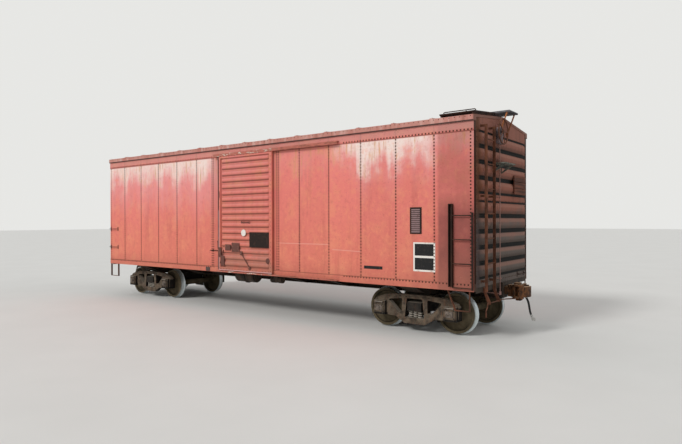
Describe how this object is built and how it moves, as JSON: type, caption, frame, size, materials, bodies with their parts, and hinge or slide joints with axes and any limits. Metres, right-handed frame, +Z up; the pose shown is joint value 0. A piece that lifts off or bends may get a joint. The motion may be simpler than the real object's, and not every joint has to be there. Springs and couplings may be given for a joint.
{
  "type": "railroad boxcar",
  "caption": "Forty-foot steel boxcar with sliding side doors, ribbed ends, roof walk, ladders, couplers and swivelling four-wheel trucks.",
  "frame": {"origin": "on the floor under the wheel flanges, midway between the car's ends and sides", "axes": "+X along the car towards the hand brake end, +Y to the left side, +Z up"},
  "size_m": [13.6642, 3.136, 4.6028],
  "materials": {
    "body_paint": "faded red paint, chalked and streaked",
    "door_paint": "faded red paint on pressed ribs",
    "track_paint": "faded red paint, rusty",
    "end_paint": "dark red paint under brown grime",
    "roof_paint": "faded red paint, weathered",
    "grating_steel": "dull galvanised steel",
    "underframe_steel": "dark paint under dust",
    "rusty_iron": "rust-brown, flat",
    "coupler_iron": "rusty casting",
    "brake_iron": "dull grey casting",
    "truck_iron": "grimy casting",
    "spring_steel": "dusty spring steel",
    "wheel_steel": "dusty faces with bright treads",
    "floor_wood": "worn planks",
    "hose_rubber": "matt black",
    "coupling_metal": "bare metal"
  },
  "bodies": {
    "car_body": {"floor": "floor_wood", "right_side_wall": "body_paint", "left_side_wall": "body_paint", "brake_end_wall": "end_paint", "plain_end_wall": "end_paint", "roof": "roof_paint", "running_board": "grating_steel", "corner_boards": "grating_steel", "right_door_tracks": "track_paint", "left_door_tracks": "track_paint", "centre_sill": "underframe_steel", "body_bolsters": "underframe_steel", "crossbearers": "underframe_steel", "floor_stringers": "underframe_steel", "end_sills": "end_paint", "side_ladders": "rusty_iron", "end_ladders": "rusty_iron", "grab_irons": "rusty_iron", "sill_steps": "rusty_iron", "brake_end_coupler": "coupler_iron", "plain_end_coupler": "coupler_iron", "coupler_knuckles": "coupler_iron", "uncoupling_levers": "rusty_iron", "hand_brake_housing": "brake_iron", "hand_brake_wheel": "brake_iron", "hand_brake_rod": "rusty_iron", "brake_step": "grating_steel", "brake_cylinder": "brake_iron", "air_reservoir": "brake_iron", "control_valve": "brake_iron", "brake_levers": "underframe_steel", "train_pipe": "underframe_steel", "brake_end_hose": "hose_rubber", "plain_end_hose": "hose_rubber", "brake_end_hose_coupling": "coupling_metal", "plain_end_hose_coupling": "coupling_metal"},
    "right_sliding_door": {"right_door": "door_paint"},
    "left_sliding_door": {"left_door": "door_paint"},
    "brake_truck": {"brake_truck_side_frames": "truck_iron", "brake_truck_bolster": "truck_iron", "brake_truck_springs": "spring_steel", "brake_truck_brake_beams": "truck_iron"},
    "brake_truck_outer_axle": {"brake_truck_outer_wheelset": "wheel_steel"},
    "brake_truck_inner_axle": {"brake_truck_inner_wheelset": "wheel_steel"},
    "plain_truck": {"plain_truck_side_frames": "truck_iron", "plain_truck_bolster": "truck_iron", "plain_truck_springs": "spring_steel", "plain_truck_brake_beams": "truck_iron"},
    "plain_truck_outer_axle": {"plain_truck_outer_wheelset": "wheel_steel"},
    "plain_truck_inner_axle": {"plain_truck_inner_wheelset": "wheel_steel"}
  },
  "joints": [
    {"name": "right_door_slide", "type": "slide", "parent": "car_body", "child": "right_sliding_door", "axis": [1, 0, 0], "range_m": [0, 1.83]},
    {"name": "left_door_slide", "type": "slide", "parent": "car_body", "child": "left_sliding_door", "axis": [-1, 0, 0], "range_m": [0, 1.83]},
    {"name": "brake_truck_swivel", "type": "hinge", "parent": "car_body", "child": "brake_truck", "pos_m": [4.71, 0, 0.679], "axis": [0, 0, 1], "range_deg": [-7, 7]},
    {"name": "brake_truck_outer_axle_roll", "type": "hinge", "parent": "brake_truck", "child": "brake_truck_outer_axle", "pos_m": [5.548, 0, 0.444], "axis": [0, 1, 0], "continuous": true},
    {"name": "brake_truck_inner_axle_roll", "type": "hinge", "parent": "brake_truck", "child": "brake_truck_inner_axle", "pos_m": [3.872, 0, 0.444], "axis": [0, 1, 0], "continuous": true},
    {"name": "plain_truck_swivel", "type": "hinge", "parent": "car_body", "child": "plain_truck", "pos_m": [-4.71, 0, 0.679], "axis": [0, 0, 1], "range_deg": [-7, 7]},
    {"name": "plain_truck_outer_axle_roll", "type": "hinge", "parent": "plain_truck", "child": "plain_truck_outer_axle", "pos_m": [-5.548, 0, 0.444], "axis": [0, 1, 0], "continuous": true},
    {"name": "plain_truck_inner_axle_roll", "type": "hinge", "parent": "plain_truck", "child": "plain_truck_inner_axle", "pos_m": [-3.872, 0, 0.444], "axis": [0, 1, 0], "continuous": true}
  ]
}
